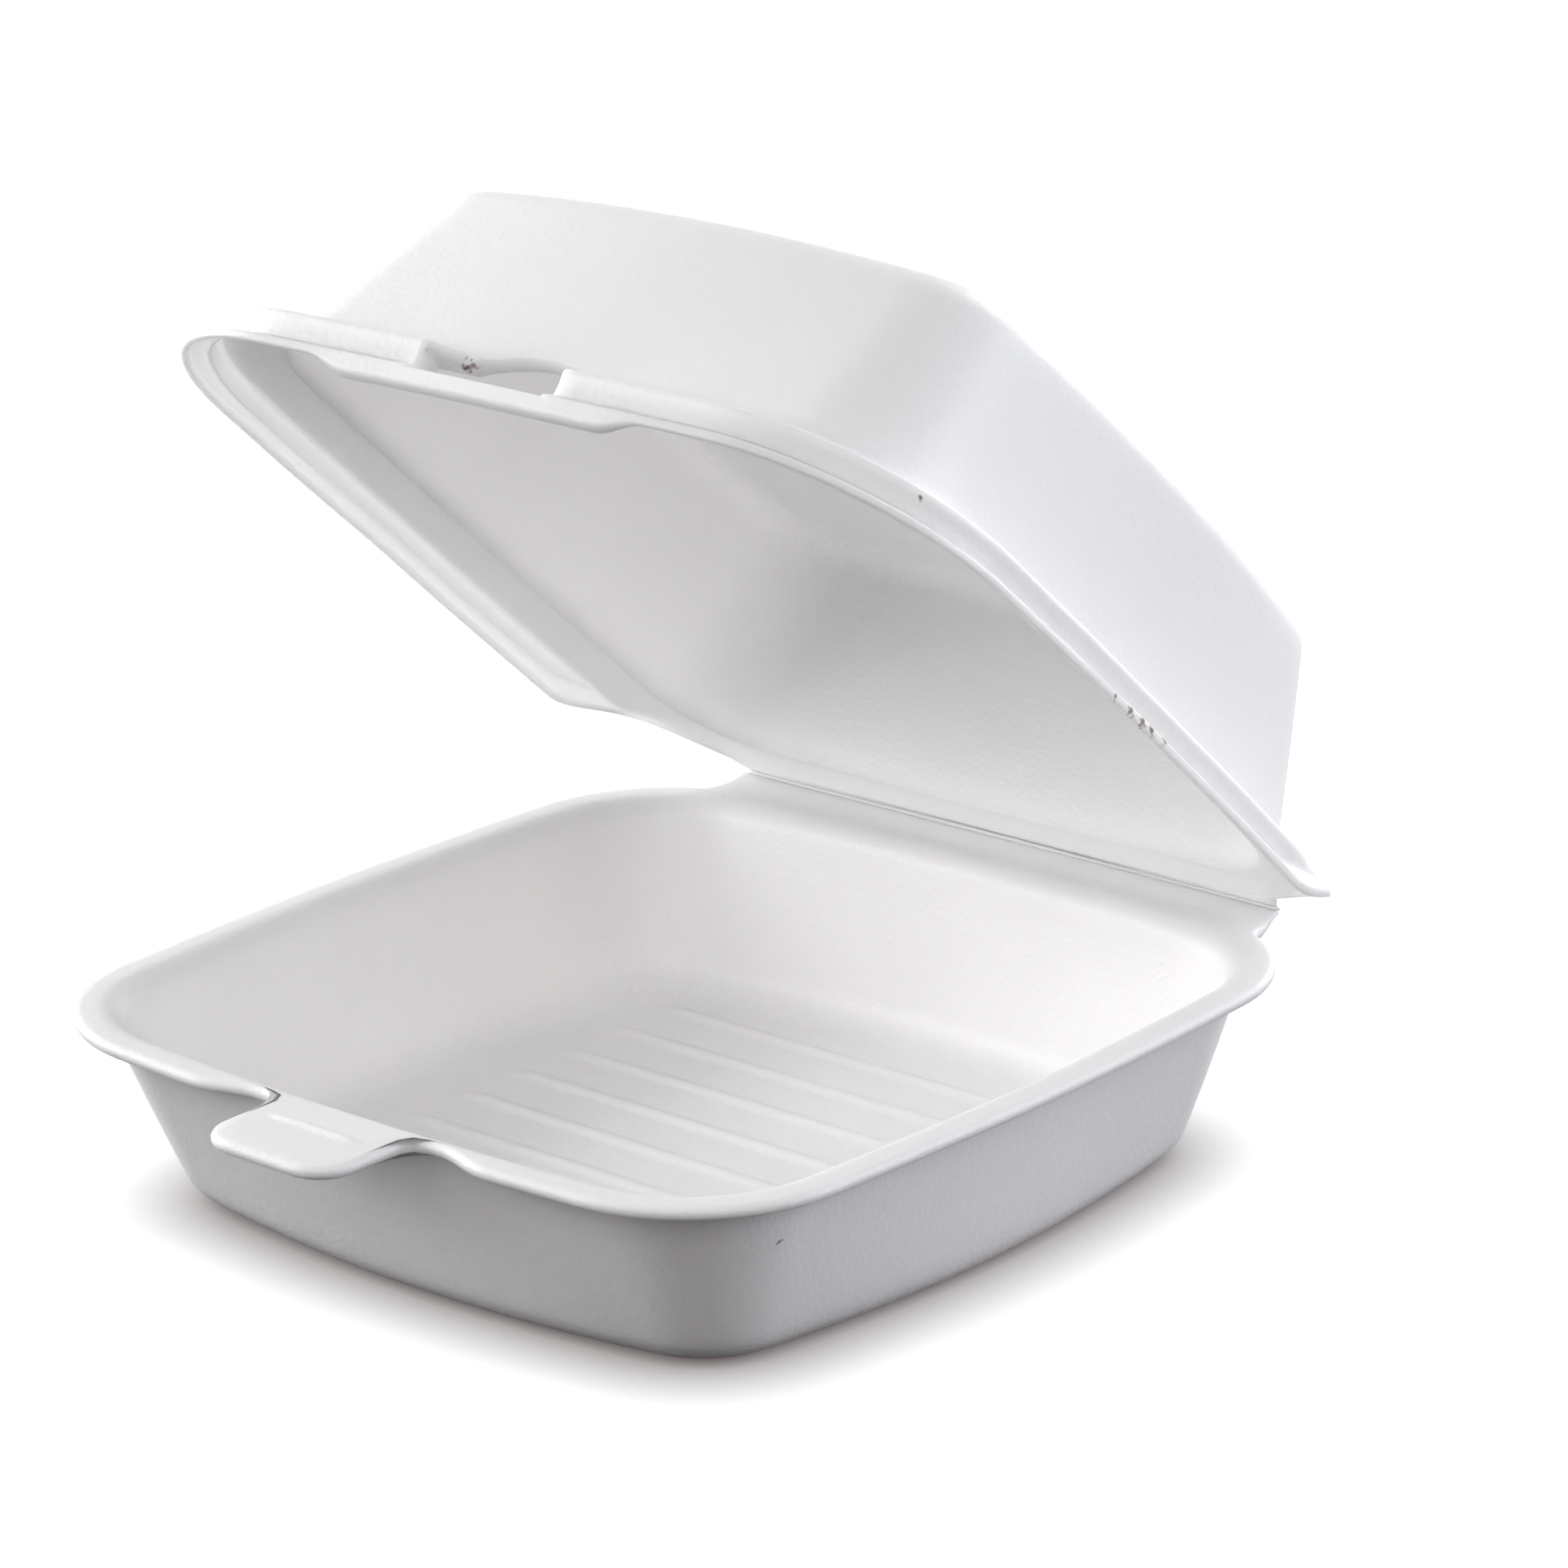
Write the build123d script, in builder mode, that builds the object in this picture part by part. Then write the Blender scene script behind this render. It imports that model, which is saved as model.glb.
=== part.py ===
"""Hinged foam sandwich box, moulded from one sheet and standing with its lid half open.

Frame: millimetres, +Z up, origin on the table below the middle of the tray's rim.
The front, with the tab, faces -Y. The fold of the lid runs along X at the back.
"""
import os
from math import cos, radians, sin

from build123d import *

# Foam sheet: most of it is one thickness, and it is pressed thinner at rims and at the fold
wall = 2.2
skirt_wall = 1.0
lip_wall = 1.5
edge_round = 0.8
fold_thick = 1.0

# Rim of the tray: a square with rounded corners and slightly bulging sides
rim_width = 150.0
rim_depth = 152.0
rim_corner = 27.8
rim_bow = 3.7
rim_height = 32.8
ledge = 4.3
lip_round = 3.0

# Foot of the tray, smaller than the rim because the walls lean outward
wall_lean = 13.1
wall_lean_depth = 12.9
foot_corner = 15.0
foot_bow = 6.5
foot_shift = 1.9
foot_round = 5.0

# Low ribs across the floor
rib_length = 84.0
rib_width = 3.6
rib_height = 0.7
rib_pitch = 12.2
rib_count = 8
rib_slope = 45

# Tab that pokes through the slot of the lid, with a shallow hollow in the rim to each side
tab_width = 27.0
tab_reach = 15.2
tab_corner = 6.5
tab_thick = 2.6
tab_ridge_width = 18.0
tab_ridge_depth = 2.0
tab_ridge_height = 0.6
tab_ridge_inset = 3.6
tab_ridge_slope = 40
hollow_width = 15.0
hollow_depth = 3.2
hollow_start_depth = 2.4
hollow_deepest_at = 5.2

# Fold between tray and lid
fold_reach = 4.35
fold_rise = 0.8
fold_width = 111.8
fold_root_width = 115.2
fold_gap = 0.3
lid_open_angle = 42.5

# Rim of the lid: a sloping flange that sits on the tray, a skirt over the tray's edge, and its lip
overhang = 3.9
front_overhang = 3.3
back_overhang = 4.7
lip_corner = 34.5
lip_back_corner = 29.0
lip_flare = 1.6
lip_height = 1.4
lip_rise = 2.2
skirt_corner = 35.5
skirt_bow = 1.8
skirt_drop = 5.6
skirt_front_drop = 6.4
skirt_lean = 0.4
skirt_end_start = 25.0
skirt_end_length = 20.0
flange_width = 13.2
flange_back_width = 5.8
flange_corner = 19.0
flange_slope_rise = 3.2
seat_gap = 0.2
fold_clearance = 0.1
shoulder_round = 0.8

# Walls and top of the lid, smaller than the tray's rim
crown_inset = 15.85
crown_inset_depth = 14.75
crown_corner = 16.0
crown_bow = 5.5
crown_shift = 7.0
crown_height = 39.1
crown_round = 4.5

# Slot for the tab, and the thick bar below it
slot_clearance = 0.6
slot_sill_drop = 5.4
slot_shoulder_rise = 1.5
slot_crown_rise = 5.0
bar_width = 67.0
bar_end = 9.0
bar_corner = 8.0
bar_drop = 2.1
bar_thick = 3.0
bar_round = 1.2


def bowed_rectangle(width, depth, bow, corner, shift=0.0, back_corner=None):
    """A rounded rectangle whose four sides bulge outward by the bow."""
    x = width / 2 - bow
    y = depth / 2 - bow
    with BuildSketch() as outline:
        with BuildLine():
            ThreePointArc((-x, shift - y), (0, shift - depth / 2), (x, shift - y))
            ThreePointArc((x, shift - y), (width / 2, shift), (x, shift + y))
            ThreePointArc((x, shift + y), (0, shift + depth / 2), (-x, shift + y))
            ThreePointArc((-x, shift + y), (-width / 2, shift), (-x, shift - y))
        make_face()
        fillet(outline.vertices().group_by(Axis.Y)[0], corner)
        fillet(outline.vertices().group_by(Axis.Y)[-1], back_corner or corner)
    return outline.sketch


# Values worked out from the sizes above, with a small distance to find edges by their height
tiny = 0.01
rim_front = -rim_depth / 2
rim_back = rim_depth / 2
foot_width = rim_width - 2 * wall_lean
foot_depth = rim_depth - 2 * wall_lean_depth
crown_width = rim_width - 2 * crown_inset
crown_depth = rim_depth - 2 * crown_inset_depth
fold_y = rim_back + fold_reach
fold_z = rim_height + fold_rise
fold_end = fold_y - fold_gap / 2
ledge_width = rim_width - 2 * ledge
ledge_depth = rim_depth - 2 * ledge
ledge_corner = rim_corner - ledge
tab_tip = rim_front - tab_reach
tab_root = rim_front + ledge
tab_side = tab_width / 2

# Hollow space of the tray
with BuildPart() as tray_space:
    with BuildSketch(Plane.XY.offset(wall)):
        floor_width = foot_width - 2 * wall
        floor_depth = foot_depth - 2 * wall
        add(bowed_rectangle(floor_width, floor_depth, foot_bow, foot_corner - wall, foot_shift))
    with BuildSketch(Plane.XY.offset(rim_height)):
        add(bowed_rectangle(ledge_width - 2 * wall, ledge_depth - 2 * wall, rim_bow, ledge_corner - wall))
    loft()
    fillet(faces().sort_by(Axis.Z)[0].edges(), foot_round)

# Shapes taken out of the rim to the left and right of the tab
with BuildSketch() as hollows:
    with BuildLine():
        hollow_start = (tab_side, rim_front + hollow_start_depth)
        hollow_middle = (tab_side + hollow_deepest_at, rim_front + hollow_depth)
        hollow_finish = (tab_side + hollow_width, rim_front)
        ThreePointArc(hollow_start, hollow_middle, hollow_finish)
        Polyline(hollow_finish, (tab_side + hollow_width, tab_tip), (tab_side, tab_tip), hollow_start)
    make_face()
    mirror(about=Plane.YZ)

# Flat rim of the tray
with BuildPart() as rim:
    with BuildSketch(Plane.XY.offset(rim_height - wall)):
        add(bowed_rectangle(rim_width, rim_depth, rim_bow, rim_corner))
        add(hollows.sketch, mode=Mode.SUBTRACT)
    extrude(amount=wall)
    fillet(edges().group_by(Axis.Z)[-1] + edges().group_by(Axis.Z)[0], edge_round)

# Tab of the rim, with a low ridge across its root
with BuildPart() as tab:
    with BuildSketch(Plane.XY.offset(rim_height - tab_thick)) as tab_outline:
        with Locations((0, (tab_tip + tab_root) / 2)):
            Rectangle(tab_width, tab_root - tab_tip)
        fillet(tab_outline.vertices().group_by(Axis.Y)[0], tab_corner)
    extrude(amount=tab_thick)
    fillet(edges().group_by(Axis.Z)[-1] + edges().group_by(Axis.Z)[0], edge_round)
    with BuildSketch(Plane.XY.offset(rim_height)):
        with Locations((0, rim_front - tab_ridge_inset)):
            SlotOverall(tab_ridge_width, tab_ridge_depth)
    extrude(amount=tab_ridge_height, taper=tab_ridge_slope)

# Near half of the fold: a strip that thins towards the fold line
with BuildPart() as tray_strip:
    with BuildSketch(Plane.XZ.offset(ledge / 2 - rim_back)):
        with Locations((0, rim_height - wall / 2)):
            Rectangle(fold_root_width, wall)
    with BuildSketch(Plane.XZ.offset(-fold_end)):
        with Locations((0, fold_z - fold_thick / 2)):
            Rectangle(fold_width, fold_thick)
    loft()

# Tray: tapering walls, a rounded foot, the rim, the tab, the ribs and the near half of the fold
with BuildPart() as base:
    with BuildSketch(Plane.XY):
        add(bowed_rectangle(foot_width, foot_depth, foot_bow, foot_corner, foot_shift))
    with BuildSketch(Plane.XY.offset(rim_height)):
        add(bowed_rectangle(ledge_width, ledge_depth, rim_bow, ledge_corner))
    loft()
    fillet(faces().sort_by(Axis.Z)[0].edges(), foot_round)
    add(rim.part)
    add(tab.part)
    add(tray_strip.part)
    add(tray_space.part, mode=Mode.SUBTRACT)
    mouth = edges().filter_by_position(Axis.Z, rim_height - tiny, rim_height + tiny)
    mouth = mouth.filter_by_position(Axis.X, -ledge_width / 2, ledge_width / 2)
    mouth = mouth.filter_by_position(Axis.Y, -ledge_depth / 2, ledge_depth / 2)
    fillet(mouth, lip_round)
    with BuildSketch(Plane.XY.offset(wall)):
        with Locations((0, foot_shift)):
            with GridLocations(0, rib_pitch, 1, rib_count):
                SlotOverall(rib_length, rib_width)
    extrude(amount=rib_height, taper=rib_slope)
base.part.label = "base"

# Places of the lid, drawn closed over the tray
skirt_width = rim_width + 2 * overhang
skirt_front = rim_front - front_overhang
skirt_back = rim_back + back_overhang
lip_front_low = fold_z - skirt_front_drop
lip_level = lip_front_low + lip_height
seat = rim_height + seat_gap
shoulder = seat + skirt_wall
crease = shoulder + flange_slope_rise
crown_top = fold_z + crown_height
skirt_low = lip_front_low - bar_drop
fold_bottom = fold_z + fold_clearance


def lip_outline(inset):
    """Outline of the lip at the skirt's lower edge, moved inward."""
    width = skirt_width - 2 * inset
    depth = skirt_back - skirt_front - 2 * inset
    middle = (skirt_front + skirt_back) / 2
    return bowed_rectangle(width, depth, skirt_bow, lip_corner - inset, middle, lip_back_corner - inset)


def skirt_outline(inset):
    """Outline of the skirt above its lip, moved inward. At the back it is as far out as the lip."""
    front = skirt_front + lip_flare + inset
    back = skirt_back - inset
    width = skirt_width - 2 * (lip_flare + inset)
    return bowed_rectangle(width, back - front, skirt_bow, skirt_corner - inset, (front + back) / 2)


def foot_of_walls(inset):
    """Outline where the lid's walls rise from its flange, moved inward."""
    front = skirt_front + flange_width + inset
    back = skirt_back - flange_back_width - inset
    width = skirt_width - 2 * (flange_width + inset)
    return bowed_rectangle(width, back - front, skirt_bow, flange_corner - inset, (front + back) / 2)


def crown_outline(inset):
    """Outline of the lid's flat top, moved inward."""
    return bowed_rectangle(
        crown_width - 2 * inset, crown_depth - 2 * inset, crown_bow, crown_corner - inset, crown_shift
    )


def stack(sections):
    """Solid that runs straight from each outline to the next, all at their own heights."""
    with BuildPart() as solid:
        for (low, low_outline), (high, high_outline) in zip(sections, sections[1:]):
            with BuildSketch(Plane.XY.offset(low)):
                add(low_outline)
            with BuildSketch(Plane.XY.offset(high)):
                add(high_outline)
            loft()
    return solid.part


# Hollow space of the lid
with BuildPart() as lid_space:
    add(stack([
        (skirt_low, lip_outline(lip_wall)),
        (lip_level - skirt_wall, lip_outline(lip_wall)),
        (lip_level - skirt_wall + lip_rise, skirt_outline(skirt_wall)),
        (seat, skirt_outline(skirt_wall + skirt_lean)),
        (crease - wall, foot_of_walls(wall)),
        (crown_top - wall, crown_outline(wall)),
    ]))
    fillet(faces().sort_by(Axis.Z)[-1].edges(), crown_round - wall / 2)

# Outline, seen from the side, of what is cut away below the skirt
with BuildPart() as below_skirt:
    with BuildSketch(Plane.YZ):
        with BuildLine():
            side_low = fold_z - skirt_drop
            back_start = rim_back - skirt_end_start
            back_finish = back_start + skirt_end_length
            Polyline(
                (back_start, side_low),
                (0, side_low),
                (skirt_front - overhang, lip_front_low),
                (skirt_front - overhang, skirt_low - overhang),
                (fold_y + overhang, skirt_low - overhang),
                (fold_y + overhang, fold_bottom),
                (back_finish, fold_bottom),
            )
            Spline(
                (back_start, side_low),
                ((back_start + back_finish) / 2, (side_low + fold_bottom) / 2),
                (back_finish, fold_bottom),
                tangents=((1, 0), (1, 0)),
            )
        make_face()
    extrude(amount=skirt_width, both=True)

# Slot for the tab, cut through the flange and the skirt from the front
with BuildPart() as slot:
    with BuildSketch(Plane.XZ.offset(-skirt_front - flange_width - wall)):
        slot_side = tab_side + slot_clearance
        slot_sill = fold_z - slot_sill_drop
        slot_shoulder = fold_z + slot_shoulder_rise
        with BuildLine():
            left_shoulder = (-slot_side, slot_shoulder)
            right_shoulder = (slot_side, slot_shoulder)
            Polyline(left_shoulder, (-slot_side, slot_sill), (slot_side, slot_sill), right_shoulder)
            ThreePointArc(left_shoulder, (0, fold_z + slot_crown_rise), right_shoulder)
        make_face()
    extrude(amount=2 * flange_width)

# Thick bar under the slot, with ends that run out into the skirt
with BuildPart() as bar:
    with BuildSketch(Plane.XZ.offset(-skirt_front - bar_thick)) as bar_outline:
        with BuildLine():
            bar_side = bar_width / 2
            Polyline(
                (-bar_side, slot_sill),
                (-bar_side, lip_front_low),
                (bar_end - bar_side, skirt_low),
                (bar_side - bar_end, skirt_low),
                (bar_side, lip_front_low),
                (bar_side, slot_sill),
                close=True,
            )
        make_face()
        fillet(bar_outline.vertices().group_by(Axis.Y)[0], bar_corner)
    extrude(amount=bar_thick)
    fillet(edges().group_by(Axis.Z)[0], bar_round)

# Lid, closed: a skirt, a sloping flange, walls up to a rounded top, and the far half of the fold
with BuildPart() as closed_lid:
    add(stack([
        (skirt_low, lip_outline(0)),
        (lip_level, lip_outline(0)),
        (lip_level + lip_rise, skirt_outline(0)),
        (shoulder, skirt_outline(skirt_lean)),
        (crease, foot_of_walls(0)),
        (crown_top, crown_outline(0)),
    ]))
    fillet(faces().sort_by(Axis.Z)[-1].edges(), crown_round)
    fillet(edges().filter_by_position(Axis.Z, shoulder - tiny, shoulder + tiny), shoulder_round)
    add(lid_space.part, mode=Mode.SUBTRACT)
    add(below_skirt.part, mode=Mode.SUBTRACT)
    add(bar.part)
    add(slot.part, mode=Mode.SUBTRACT)
    with Locations((0, fold_end, fold_bottom)):
        Box(fold_width, flange_back_width, fold_thick, align=(Align.CENTER, Align.MAX, Align.MIN))
    split(bisect_by=Plane.XZ.offset(-fold_end), keep=Keep.TOP)

# Lid, swung open about the fold line
with BuildPart() as lid:
    add(closed_lid.part.rotate(Axis((0, fold_y, fold_z), (1, 0, 0)), -lid_open_angle))
lid.part.label = "lid"

os.makedirs("parts", exist_ok=True)
export_step(base.part, "parts/base.step")
export_step(lid.part, "parts/lid.step")
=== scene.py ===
# %% [markdown]
# A hinged foam sandwich box, standing half open on a white table.
# The real thing is one sheet of foamed polystyrene, heated and pressed between two moulds.
# So everything here is one thin white shell: a tray and a lid, joined by a pressed fold.
# This first cell loads the CAD model, which fixes where each piece is and how it moves.

# %% Load the frame
from math import asin, atan2, cos, hypot, pi, radians, sin

import bmesh
import bpy
import numpy as np
from mathutils import Matrix, Vector, noise


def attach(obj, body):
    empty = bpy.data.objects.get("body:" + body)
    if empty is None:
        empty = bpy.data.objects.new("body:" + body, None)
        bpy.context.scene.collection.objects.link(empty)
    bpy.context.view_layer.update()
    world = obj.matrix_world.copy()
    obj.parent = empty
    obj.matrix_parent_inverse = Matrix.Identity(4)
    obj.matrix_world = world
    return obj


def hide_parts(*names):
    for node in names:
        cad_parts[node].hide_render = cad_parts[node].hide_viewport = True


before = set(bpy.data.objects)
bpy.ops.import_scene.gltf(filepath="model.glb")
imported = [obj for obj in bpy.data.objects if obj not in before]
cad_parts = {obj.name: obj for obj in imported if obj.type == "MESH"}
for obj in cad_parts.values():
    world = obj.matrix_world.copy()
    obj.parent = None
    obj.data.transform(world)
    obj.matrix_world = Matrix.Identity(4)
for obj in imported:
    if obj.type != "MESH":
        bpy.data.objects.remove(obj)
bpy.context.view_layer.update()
scene = bpy.context.scene
scene.view_settings.view_transform = "Standard"
MM = 0.001

# %% [markdown]
# The camera stands in front and to the right of the box, a little above it, and about a metre away.
# Its place came from matching the rims of the tray and the lid in the photograph.
# A long lens keeps the edges nearly parallel, as in a catalogue picture.

# %% Camera
image_size = 1932
focal_pixels = 7969.8
view_azimuth = radians(41.32)
view_elevation = radians(18.77)
view_roll = radians(-1.20)
view_distance = 0.99976
view_aim = Vector((0.00666, 0.01847, 0.06100))


def direction(side_angle, height_angle):
    """Unit vector from the object, by its angle from the front towards the right and its angle upward."""
    return Vector((
        sin(side_angle) * cos(height_angle), -cos(side_angle) * cos(height_angle), sin(height_angle)
    ))


back = direction(view_azimuth, view_elevation)
level = Vector((cos(view_azimuth), sin(view_azimuth), 0))
upward = back.cross(level)
camera_x = level * cos(view_roll) + upward * sin(view_roll)
camera_y = upward * cos(view_roll) - level * sin(view_roll)
camera_data = bpy.data.cameras.new("camera")
camera_data.sensor_width = 36
camera_data.lens = focal_pixels / image_size * camera_data.sensor_width
camera_data.clip_end = 20
camera = bpy.data.objects.new("camera", camera_data)
camera.matrix_world = Matrix.Translation(view_aim + back * view_distance) @ Matrix(
    (camera_x, camera_y, back)
).transposed().to_4x4()
scene.collection.objects.link(camera)
scene.camera = camera
print("lens", round(camera_data.lens, 1), "mm")

# %% [markdown]
# Colours are written as sRGB hex values, the way a colour picker shows them.
# Blender's shaders work with linear light, so one function turns the one into the other.
# A second small function adds a node, sets its values and links its inputs.

# %% Colour and node helpers
def linear(hex_colour):
    """Linear RGBA of an sRGB hex colour such as "F4F2EF"."""
    parts = [int(hex_colour[i:i + 2], 16) / 255 for i in (0, 2, 4)]
    return tuple(c / 12.92 if c <= 0.04045 else ((c + 0.055) / 1.055) ** 2.4 for c in parts) + (1.0,)


def node(tree, kind, settings=None, **inputs):
    """Adds a node. Inputs are given by name, with _ for a space, as a value or another node's output."""
    added = tree.nodes.new(kind)
    for name, value in (settings or {}).items():
        setattr(added, name, value)
    for name, value in inputs.items():
        key = int(name[1:]) if name[0] == "i" and name[1:].isdigit() else name.replace("_", " ")
        if isinstance(value, bpy.types.NodeSocket):
            tree.links.new(value, added.inputs[key])
        else:
            added.inputs[key].default_value = value
    return added


def new_material(name):
    """An empty node material and its tree."""
    material = bpy.data.materials.new(name)
    material.use_nodes = True
    material.node_tree.nodes.clear()
    return material, material.node_tree


def shows_background(tree):
    """1 for what the camera sees, by itself, in a gloss or through glass, and 0 for light on the object."""
    rays = node(tree, "ShaderNodeLightPath").outputs
    shown = rays["Is Camera Ray"]
    for other in ("Is Glossy Ray", "Is Transmission Ray"):
        shown = node(
            tree, "ShaderNodeMath", {"operation": "MAXIMUM"}, i0=shown, i1=rays[other]
        ).outputs[0]
    return shown


# %% [markdown]
# The picture has a pure white ground with a soft shadow only where the tray meets it.
# White foam shows its form only by slow changes of brightness, so large lamps stand low all round it, and
# a faint even light fills what they leave. The world shader shows white to the camera and in anything
# glossy, and gives that faint light to all other rays.

# %% World
fill_strength = 0.1
world = bpy.data.worlds.new("white_studio")
world.use_nodes = True
scene.world = world
tree = world.node_tree
tree.nodes.clear()
fill = node(tree, "ShaderNodeBackground", Color=linear("FFFFFF"), Strength=fill_strength)
seen = node(tree, "ShaderNodeBackground", Color=linear("FFFFFF"), Strength=1.0)
mixed = node(tree, "ShaderNodeMixShader", i0=shows_background(tree), i1=fill.outputs[0], i2=seen.outputs[0])
node(tree, "ShaderNodeOutputWorld", Surface=mixed.outputs[0])
print("fill strength", fill_strength)

# %% [markdown]
# The table is a plain white card. A real card would also show the wide shadow of the lid, and throw light
# up at the tray's outer walls, which are plainly grey in the photograph. So the camera sees a white that
# darkens only where something is about a centimetre from it, and the light on the object meets a dark
# matte table.

# %% Table
table_size = 6.0
table_gap = 0.05 * MM
contact_reach = 12 * MM
contact_samples = 4
card_glow = 0.94
table_material, tree = new_material("white_card")
backdrop = shows_background(tree)
near = node(
    tree, "ShaderNodeAmbientOcclusion", {"samples": contact_samples},
    Color=linear("FFFFFF"), Distance=contact_reach,
)
tone = node(
    tree, "ShaderNodeMix", {"data_type": "RGBA"},
    i0=near.outputs["AO"], i6=linear("5E5252"), i7=linear("FFFFFF"),
)
card_colour = node(
    tree, "ShaderNodeMix", {"data_type": "RGBA"}, i0=backdrop, i6=linear("38373A"), i7=linear("5C5A5A")
)
matte = node(tree, "ShaderNodeBsdfDiffuse", Color=card_colour.outputs[2])
white = node(tree, "ShaderNodeEmission", Color=tone.outputs[2], Strength=card_glow)
lifted = node(tree, "ShaderNodeAddShader", i0=matte.outputs[0], i1=white.outputs[0])
shown = node(tree, "ShaderNodeMixShader", i0=backdrop, i1=matte.outputs[0], i2=lifted.outputs[0])
node(tree, "ShaderNodeOutputMaterial", Surface=shown.outputs[0])

table_mesh = bpy.data.meshes.new("table")
half = table_size / 2
table_corners = [(-half, -half, 0), (half, -half, 0), (half, half, 0), (-half, half, 0)]
table_mesh.from_pydata(table_corners, [], [(0, 1, 2, 3)])
table = bpy.data.objects.new("table", table_mesh)
table.location.z = -table_gap
table_mesh.materials.append(table_material)
scene.collection.objects.link(table)
print("table is", table_size, "m wide")

# %% [markdown]
# A soft box is an area lamp. It is placed by its compass angle from the front and its height above the
# table, always at the same distance, and it faces the object.

# %% Soft boxes
lamp_distance = 1.6
lamp_width = 1.1
lamp_target = Vector((0, 0, 0.05))


def soft_box(name, side_angle, height_angle, power, colour):
    """A square area lamp in a direction from the object, in degrees, turned towards it."""
    outward = direction(radians(side_angle), radians(height_angle))
    lamp_data = bpy.data.lights.new(name, "AREA")
    lamp_data.size = lamp_width
    lamp_data.energy = power
    lamp_data.color = linear(colour)[:3]
    lamp = bpy.data.objects.new(name, lamp_data)
    lamp.location = lamp_target + outward * lamp_distance
    lamp.rotation_euler = outward.to_track_quat("Z", "Y").to_euler()
    scene.collection.objects.link(lamp)


soft_box("key_box", 45, 38, 7.7, "FFFEFD")
soft_box("front_box", -15, 40, 5.3, "FFFEFD")
soft_box("front_left_box", -50, 18, 12.0, "FFFFFF")
soft_box("left_box", -90, 13, 23.5, "FCFBFF")
soft_box("back_box", 180, 16, 15.0, "FFFFFF")
soft_box("back_right_box", 125, 12, 15.5, "F3F6FF")

# %% [markdown]
# A light box of foam picks up small marks when it is stacked and handled: a row of scuffs on the lid's
# right skirt, single dark specks, and the torn end of the slot. They could be painted on an image, but the
# scene uses none. So each mark is a place and a radius in millimetres, and the shader measures how far a
# point of the skin is from it. A noise stretches that distance, so that the borders come out ragged.

# %% Marks in the skin
mark_raggedness = 0.8 * MM
lid_marks = (
    ((78.9, 9.7, 91.9), 0.65), ((78.9, 13.2, 88.6), 0.8), ((78.9, 16.0, 86.2), 0.9),
    ((78.9, 18.2, 84.4), 0.8), ((78.8, 21.4, 82.0), 0.7), ((70.8, -24.3, 128.5), 0.5),
    ((-13.4, -27.6, 134.3), 1.1),
)
tray_marks = (((64.7, -50.7, 22.5), 0.5),)


def marks_in(tree, place, marks):
    """1 on a mark and 0 elsewhere, with ragged borders."""
    ragged = node(tree, "ShaderNodeTexNoise", Vector=place, Scale=1 / mark_raggedness, Detail=0.0)
    stretch = node(
        tree, "ShaderNodeMapRange", Value=ragged.outputs["Fac"],
        From_Min=0.3, From_Max=0.7, To_Min=0.5, To_Max=1.8,
    )
    mask = 0.0
    for centre, radius in marks:
        spot = tuple(c * MM for c in centre)
        away = node(tree, "ShaderNodeVectorMath", {"operation": "DISTANCE"}, i0=place, i1=spot)
        uneven = node(
            tree, "ShaderNodeMath", {"operation": "MULTIPLY"},
            i0=away.outputs["Value"], i1=stretch.outputs[0],
        )
        one = node(
            tree, "ShaderNodeMapRange", Value=uneven.outputs[0],
            From_Min=0.3 * radius * MM, From_Max=radius * MM, To_Min=1.0, To_Max=0.0,
        )
        mask = node(
            tree, "ShaderNodeMath", {"operation": "MAXIMUM"}, i0=one.outputs[0], i1=mask
        ).outputs[0]
    return mask


print("marks", len(lid_marks) + len(tray_marks))

# %% [markdown]
# Polystyrene foam has a thin closed skin from the hot mould: slightly glossy, with a fine orange peel
# from the flattened cells just below it. It is white but lets some light through, so shadows stay soft.
# The skin is made with subsurface scattering, soft bumps for the cells, and a faint mottling. A pattern of
# true cells would take longer to render and look the same from here. The real cells are about 0.3 mm
# wide, too fine to show, so the bumps are drawn 0.9 mm wide. The lid is drawn further out of the sheet
# than the tray, so it is thinner and more light comes through it.

# %% Foam skin
cell_size = 0.9 * MM
grain_size = 0.35 * MM
mottle_size = 22 * MM
peel_depth = 0.16 * MM
grain_depth = 0.08 * MM
tray_light_reach = 1.5 * MM
lid_light_reach = 5.0 * MM


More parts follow.
